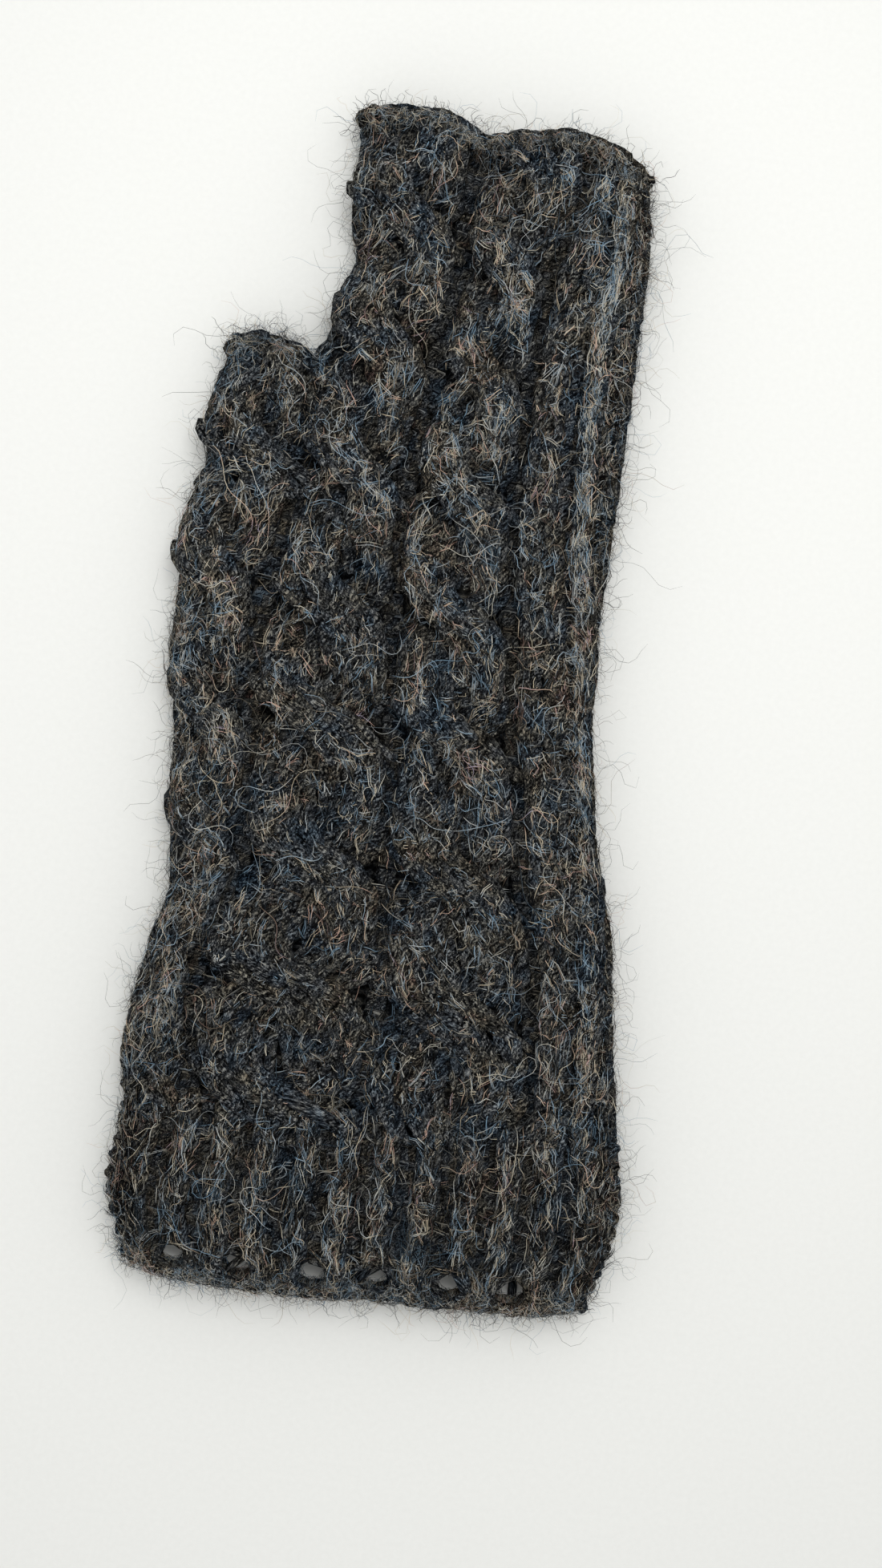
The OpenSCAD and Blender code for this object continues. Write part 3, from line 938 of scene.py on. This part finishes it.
def splat(grid, points, heights, reach):
    """Raises the cells round each point to its height."""
    cells = ((points[:, :2] - GRID_LOW) / CELL).astype(int)
    for dx in range(-reach, reach + 1):
        for dy in range(-reach, reach + 1):
            i = np.clip(cells[:, 0] + dx, 0, GRID_SIZE[0] - 1)
            j = np.clip(cells[:, 1] + dy, 0, GRID_SIZE[1] - 1)
            np.maximum.at(grid, (i, j), heights)


def height_map(yarns, cores, side):
    """The fabric's outermost height on a fine grid: side 1 for the top and -1 for the underside."""
    grid = np.full(GRID_SIZE, -np.inf)
    splat(grid, yarns, side * yarns[:, 2] + YARN, 1)
    splat(grid, cores, side * cores[:, 2], 2)
    values = np.where(np.isfinite(grid), grid, side * BEYOND)
    for _ in range(2):
        p = np.pad(values, 1, mode="edge")
        values = (p[:-2, 1:-1] + p[2:, 1:-1] + p[1:-1, :-2] + p[1:-1, 2:] + 2 * values) / 6
    return values


def sample(grid, x, y):
    u = np.clip((x - GRID_LOW[0]) / CELL, 0, GRID_SIZE[0] - 1.01)
    v = np.clip((y - GRID_LOW[1]) / CELL, 0, GRID_SIZE[1] - 1.01)
    i, j = u.astype(int), v.astype(int)
    a, b = u - i, v - j
    return (
        grid[i, j] * (1 - a) * (1 - b) + grid[i + 1, j] * a * (1 - b)
        + grid[i, j + 1] * (1 - a) * b + grid[i + 1, j + 1] * a * b
    )


def near_outline(x, y):
    """Which places lie on the glove's outermost edges."""
    thumb = (y > THUMB_SPLIT) & (y < THUMB_TOP) & (x < along_line(THUMB_RIGHT, y) - OUTLINE_WIDTH)
    left = np.where(thumb, thumb_edges(y)[0], left_edge(y))
    return (x < left + OUTLINE_WIDTH) | (x > right_edge(y) - OUTLINE_WIDTH)


def relief(grid, span):
    """How far each cell stands above the mean of the square round it."""
    reach = round(span / CELL)
    wide = grid
    for axis in (0, 1):
        pad = [(0, 0), (0, 0)]
        pad[axis] = (reach + 1, reach)
        total = np.cumsum(np.pad(wide, pad, "edge"), axis)
        ahead = np.take(total, np.arange(2 * reach + 1, total.shape[axis]), axis)
        behind = np.take(total, np.arange(0, total.shape[axis] - 2 * reach - 1), axis)
        wide = (ahead - behind) / (2 * reach + 1)
    return grid - wide


def on_the_ridges(paths, grid):
    """Which hairs lie clear of the valleys of the fabric."""
    x, y = paths[..., 0], paths[..., 1]
    drop = sample(relief(grid, VALLEY_SPAN), x, y)
    drop[near_outline(x, y)] = 0
    return drop.min(axis=1) > VALLEY_DROP - RNG.exponential(0.3, len(paths))


def painted_side_shade(x, y):
    """Painted shade: how much darker the hairs over the right side fold, and over the left one below the
    hand, are made.
    """
    right = smoothstep(right_edge(y) - RIGHT_SHADE[0], right_edge(y) - RIGHT_SHADE[1], x)
    left = smoothstep(left_edge(y) + LEFT_SHADE[0], left_edge(y) + LEFT_SHADE[1], x)
    left *= smoothstep(*LEFT_SHADE_END, y)
    return SIDE_PAINTED_SHADE * np.maximum(right, left)


def painted_light_and_shade(paths, grid):
    """Painted light and shade: hairs on the ridges are paler and those in the valleys darker, and those
    of the cuff and over the side folds darker.
    """
    middle = paths[:, paths.shape[1] // 2]
    height = sample(relief(grid, RIDGE_SPAN), middle[:, 0], middle[:, 1])
    # painted shade over the cuff, where the ridges' painted light and shade is also weaker
    above_cuff = smoothstep(CUFF_TOP - 8, CUFF_TOP + 20, middle[:, 1])
    ridges = RIDGE_PAINTED_LIGHT * (0.2 + 0.8 * above_cuff) * np.clip(height, -1.5, 1.5)
    return ridges - CUFF_PAINTED_SHADE * (1 - above_cuff) - painted_side_shade(middle[:, 0], middle[:, 1])


def clear_of_openings(paths):
    """Which hairs neither hang over the glove's ends nor stand out from its sides."""
    x, y = paths[..., 0], paths[..., 1]
    edge, _, high = THUMB_PART
    thumb = (y > THUMB_SPLIT) & (y < high) & (x < edge)
    left = np.where(thumb, thumb_edges(y)[0], left_edge(y)) - OUTLINE_SLACK
    within = (y > end_bend(x, 0.0)) & (y < np.where(thumb, THUMB_TOP, end_bend(x, TOP)))
    return (within & (x > left) & (x < right_edge(y) + OUTLINE_SLACK)).all(axis=1)


def edge_rib_of(stitches):
    """The stitches of the rib beside the glove's right edge that carries a painted highlight."""
    middle = stitches[:, stitches.shape[1] // 2]
    near = np.abs(middle[:, 0] - guide(EDGE_RIB, middle[:, 1])) < EDGE_RIB_HALF
    low, high = EDGE_RIB_HIGHLIGHT
    return stitches[near & (middle[:, 1] > low) & (middle[:, 1] < high)]


def hair_paths(roots, heading, length, curl, wander, lift, steps, grid, side):
    """Hairs over the fabric: each runs from its root on a curling course, lift above the height map."""
    count = len(roots)
    t = np.linspace(0, 1, steps)[None, :]
    phase = RNG.uniform(0, 2 * math.pi, (count, 2))
    swing = np.sin(2 * math.pi * t * 1.3 + phase[:, :1]) * wander[:, None]
    angle = heading[:, None] + curl[:, None] * t * length[:, None] + swing
    step = (length / (steps - 1))[:, None]
    start = np.zeros((count, 1))
    x = roots[:, :1] + np.concatenate([start, np.cumsum(np.cos(angle[:, 1:]) * step, 1)], 1)
    y = roots[:, 1:2] + np.concatenate([start, np.cumsum(np.sin(angle[:, 1:]) * step, 1)], 1)
    bob = 0.8 + 0.2 * np.sin(2 * math.pi * t * 1.7 + phase[:, 1:])
    above = lift[:, None] * np.sin(math.pi * t) ** 0.7 * bob - 0.1
    z = np.maximum(side * (sample(grid, x, y) + above), LOWEST)
    return np.stack([x, y, z], -1)


def in_locks(paths, number, spread):
    """Each hair repeated as a lock of nearly parallel ones, drawn together at one end."""
    count, steps = paths.shape[:2]
    t = np.linspace(0.35, 1.0, steps)[None, :, None]
    copies = [paths]
    for _ in range(number - 1):
        shift = RNG.normal(0, spread, (count, 1, 3)) * [1, 1, 0.4]
        slip = RNG.normal(0, spread, (count, 1, 3)) * [1, 1, 0.4]
        copies.append(paths + shift * 0.8 + slip * t * 0.4)
    return np.concatenate(copies)


def lay_hairs(name, material, paths, radius, tones):
    """Hairs as fine tapered tubes, without those that leave the glove's box or cross an open loop."""
    kept = ((paths > HAIR_LOW) & (paths < HAIR_HIGH)).all(axis=(1, 2))
    for hole in HEM_HOLES:
        kept &= (hole_distance(paths, hole)[0][..., 0] > HOLE_CLEAR).all(axis=1)
    paths, radius, tones = paths[kept], radius[kept], tones[kept]
    t = np.linspace(0, 1, paths.shape[1])
    taper = np.minimum(1, 4 * np.minimum(t + 0.06, 1.06 - t)) ** 0.6
    up = np.broadcast_to(np.array([0.13, 0.21, 0.97]), (len(paths), 1, 3))
    lay(name, "knit_fabric", material, paths, up, 3, radius[:, None] * taper, tones)


def hair_tones(count, bright=0.0):
    value = np.clip(RNG.uniform(0, 1, count) + bright, 0, 1)
    return np.stack([value, RNG.uniform(0, 1, count)], -1)


def yarn_hairs(stitches, count, grid, steps):
    """Hairs that lie along the stitches' yarn."""
    n = int(count * AMOUNT)
    which = RNG.integers(0, len(stitches), n)
    leg = RNG.integers(2, stitches.shape[1] - 3, n)
    a, b = stitches[which, leg], stitches[which, leg + 1]
    run = b - a
    heading = np.arctan2(run[:, 1], run[:, 0]) + RNG.normal(0, 0.22, n)
    heading += math.pi * RNG.integers(0, 2, n)
    length = RNG.uniform(3, 6.5, n)
    lift = RNG.gamma(1.4, 0.2, n)
    roots = a + RNG.normal(0, 0.6, (n, 3))
    wander = 0.1 + np.abs(RNG.normal(0, 0.25, n))
    return hair_paths(roots, heading, length, RNG.normal(0, 0.10, n), wander, lift, steps, grid, 1)


def mat_hairs(stitches, count, grid, side, steps, longest=10):
    """Loose curls felted over the stitches."""
    n = int(count * AMOUNT)
    roots = stitches[RNG.integers(0, len(stitches), n), RNG.integers(0, stitches.shape[1], n)]
    roots = roots + RNG.normal(0, 1.0, (n, 3))
    heading = RNG.uniform(0, 2 * math.pi, n)
    length = RNG.uniform(0.4, 1, n) * longest
    curl = RNG.normal(0, 0.36, n)
    wander = 0.3 + np.abs(RNG.normal(0, 0.5, n))
    lift = RNG.gamma(2, 0.32, n)
    return hair_paths(roots, heading, length, curl, wander, lift, steps, grid, side)


def long_hairs(stitches, count, grid, steps):
    """A few long hairs that stand clear of the rest."""
    n = int(count * AMOUNT)
    roots = stitches[RNG.integers(0, len(stitches), n), 0] + RNG.normal(0, 1.0, (n, 3))
    heading = RNG.uniform(0, 2 * math.pi, n)
    length = RNG.uniform(9, 22, n)
    curl = RNG.normal(0, 0.14, n)
    wander = 0.3 + np.abs(RNG.normal(0, 0.5, n))
    return hair_paths(roots, heading, length, curl, wander, RNG.uniform(1, 2.4, n), steps, grid, 1)


def outline_roots(n):
    """Random places along the glove's outline, with the outward direction there."""
    y = RNG.uniform(2, TOP - 3, n)
    on_left = RNG.uniform(size=n) < 0.5
    thumb = (y > THUMB_SPLIT) & (y < THUMB_ROWS_END)
    left = np.where(thumb, thumb_edges(y)[0], left_edge(y))
    x = np.where(on_left, left, right_edge(y))
    heading = np.where(on_left, math.pi, 0.0)
    place = RNG.uniform(size=n)
    to_hem, to_top, to_tip = HALO_SHARES
    hem = place < to_hem
    top = (place > to_hem) & (place < to_top)
    tip = (place > to_top) & (place < to_tip)
    x = np.where(hem, RNG.uniform(*HEM_SPAN, n), np.where(top, RNG.uniform(*TOP_SPAN, n), x))
    x = np.where(tip, RNG.uniform(*TIP_SPAN, n), x)
    y = np.where(hem, 2.0, np.where(top, TOP - 3, np.where(tip, THUMB_TOP - 1.5, y)))
    heading = np.where(hem, -math.pi / 2, np.where(top | tip, math.pi / 2, heading))
    return np.stack([x, end_bend(x, y)], -1), heading


def halo_hairs(count, grid, steps):
    """Fine hairs that stand out from the glove's outline, most of them short and curled."""
    n = int(count * AMOUNT)
    roots, heading = outline_roots(n)
    length = np.clip(RNG.gamma(1.3, 3.0, n) + 1.5, 1.5, 18)
    heading = heading + RNG.normal(0, 1.25, n)
    curl = RNG.normal(0, 0.4, n) * np.clip(5 / length, 0.5, 1.5)
    wander = 0.4 + np.abs(RNG.normal(0, 0.7, n))
    lift = RNG.normal(0, 1.2, n)
    return hair_paths(roots, heading, length, curl, wander, lift, steps, grid, 1)


# ---------------------------------------------------------------- the glove
def lay_stitches(yarn):
    """All the stitches: the paths of the upper layer, of its cables and of the lower layer."""
    upper, cables, lower = knit_glove()
    lay_yarn("knit_upper", "knit_fabric", yarn, *upper, 8)
    lay_yarn("knit_cables", "cable_yarn", yarn, *cables, 8)
    lay_yarn("knit_lower", "knit_fabric", yarn, *lower, 6)
    return upper[0], cables[0], lower[0]


def lay_edges(yarn):
    """The bound-off edges of hand and thumb and the cast-on cord: all their paths."""
    hand = bound_edge(HAND_BIND_OFF, left_edge(HAND_BIND_OFF), right_edge(HAND_BIND_OFF), 0.2)
    thumb = bound_edge(THUMB_BIND_OFF, *thumb_edges(THUMB_BIND_OFF), 0.1)
    lay_yarn("hand_bind_off", "edge_yarn", yarn, *hand, 8)
    lay_yarn("thumb_bind_off", "edge_yarn", yarn, *thumb, 8)
    cord, up = cast_on_cord(left_edge(0.0), right_edge(0.0))
    radii = np.full(cord.shape[:2], CORD_STRAND)
    tones = np.full((2, 2), 0.5)
    lay("cast_on_cord", "edge_yarn", yarn, cord, up, 8, radii, tones, twist=1.2, lobe=0.12)
    return np.concatenate([hand[0], thumb[0], cord.reshape(-1, EDGE_SAMPLES, 3)])


def surface_hairs(seen, under, top_map, low_map):
    """Batches of hairs over the fabric: name, paths, hairs to a lock, brightness, on ridges only."""
    batches = []
    for letter in "abc":
        batches.append((f"hairs_yarn_{letter}", yarn_hairs(seen, 10500, top_map, 5), 2, 0.0, True))
    for letter in "ab":
        batches.append((f"hairs_mat_{letter}", mat_hairs(seen, 3300, top_map, 1, 8), 1, -0.1, True))
    return batches + [
        # painted highlight: extra pale hairs along the rib beside the right edge, where light from the
        # right catches it
        ("hairs_edge_rib", yarn_hairs(edge_rib_of(seen), 700, top_map, 6), 2, 0.4, True),
        ("hairs_lower", mat_hairs(under, 2700, low_map, -1, 6), 2, 0.0, False),
        ("hairs_long", long_hairs(seen, 300, top_map, 16), 1, 0.15, False),
    ]


def lay_locks(name, hair, paths, number, bright, ridges_only, top_map):
    """One batch of surface hairs, each hair as a lock of some number of hairs."""
    paths = paths[clear_of_openings(paths)]
    if ridges_only:
        paths = paths[on_the_ridges(paths, top_map)]
        # painted light and shade from the relief, and painted shade over the cuff and the side folds
        bright = bright + painted_light_and_shade(paths, top_map)
    tones = np.tile(hair_tones(len(paths), bright), (number, 1))
    tones = np.clip(tones + RNG.normal(0, 0.15, tones.shape), 0, 1)
    locks = in_locks(paths, number, 0.5)
    locks[..., 2] = np.maximum(locks[..., 2], LOWEST)
    lay_hairs(name, hair, locks, RNG.uniform(*SURFACE_HAIR, len(locks)), tones)


def make_glove():
    yarn = wool("heather_wool", 0.003, 0.52)
    # The core is real fabric; its wool is darker than the yarn as painted shade in the gaps between the
    # stitches
    felt = wool("core_painted_shade", 0.002, 0.12)
    hair = hair_wool()
    upper, cables, lower = lay_stitches(yarn)
    rims = lay_edges(yarn)
    cores = lay_cores(felt)
    lay_tails(yarn)
    seen = np.concatenate([upper, cables])
    top_map = height_map(np.concatenate([seen.reshape(-1, 3), rims.reshape(-1, 3)]), cores, 1)
    low_map = height_map(lower.reshape(-1, 3), cores, -1)
    for name, *batch in surface_hairs(seen, lower, top_map, low_map):
        lay_locks(name, hair, *batch, top_map)
    fuzz = mat_hairs(rims, 4600, top_map, 1, 6, longest=5.5)
    lay_hairs("hairs_rims", hair, fuzz, RNG.uniform(*EDGE_HAIR, len(fuzz)), hair_tones(len(fuzz)))
    halo = halo_hairs(6600, top_map, 9)
    lay_hairs("hairs_halo", hair, halo, RNG.uniform(*HALO_HAIR, len(halo)), hair_tones(len(halo), 0.1))


def stand_in():
    """The CAD nodes of the cuff, hand, thumb and fingers are hidden, and the glove's pieces show the
    glove in their place.
    """
    bodies = frame["record"]["behaviour"]["bodies"]
    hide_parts(*bodies["cuff"])
    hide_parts(*bodies["hand"], *bodies["thumb"])
    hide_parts(*bodies["fingers"])


make_glove()
stand_in()


# ---------------------------------------------------------------- floor, light and camera
def pale_floor():
    material, tree, shader = new_material("pale_floor")
    coordinates = tree.nodes.new("ShaderNodeTexCoord")
    grain = noise(tree, coordinates.outputs["Object"], scale=900, detail=2)
    colour = ramp(tree, grain, [(0.3, (0.79, 0.795, 0.765)), (0.7, (0.81, 0.815, 0.785))])
    tree.links.new(colour, shader.inputs["Base Color"])
    shader.inputs["Roughness"].default_value = 0.9
    shader.inputs["Specular IOR Level"].default_value = 0.2
    size = 12.0
    corners = [(-size, -size, 0), (size, -size, 0), (size, size, 0), (-size, size, 0)]
    data = bpy.data.meshes.new("floor")
    data.from_pydata(corners, [], [(0, 1, 2, 3)])
    data.materials.append(material)
    floor = bpy.data.objects.new("floor", data)
    bpy.context.scene.collection.objects.link(floor)


def area_light(name, place, target, size, spread, power):
    light = bpy.data.lights.new(name, "AREA")
    light.size = size
    light.spread = math.radians(spread)
    light.energy = power
    holder = bpy.data.objects.new(name, light)
    holder.location = place
    holder.rotation_euler = (Vector(target) - Vector(place)).to_track_quat("-Z", "Y").to_euler()
    bpy.context.scene.collection.objects.link(holder)


def sky(strength):
    world = bpy.data.worlds.new("studio")
    world.use_nodes = True
    world.node_tree.nodes["Background"].inputs["Color"].default_value = (1.0, 1.0, 1.0, 1)
    world.node_tree.nodes["Background"].inputs["Strength"].default_value = strength
    bpy.context.scene.world = world


CAMERA_HEIGHT = 0.46
VIEW_LENGTH = 0.2934  # how much of the glove's plane the picture's long side takes in
GLOVE_PLANE = 0.009  # height of that plane
CAMERA_PLACE = (0.0055, -0.0133, CAMERA_HEIGHT)
CAMERA_TURN = 7.57  # degrees


def look_down():
    data = bpy.data.cameras.new("camera")
    data.sensor_width = 36
    data.lens = 36 * (CAMERA_HEIGHT - GLOVE_PLANE) / VIEW_LENGTH
    camera = bpy.data.objects.new("camera", data)
    camera.location = CAMERA_PLACE
    camera.rotation_euler = (0, 0, math.radians(CAMERA_TURN))
    bpy.context.scene.collection.objects.link(camera)
    bpy.context.scene.camera = camera


pale_floor()
area_light("window", (0.05, 0.19, 0.55), (-0.01, 0.06, 0), 0.3, 75, 0.27)
sky(0.855)
look_down()
bpy.context.scene.view_settings.view_transform = "Standard"
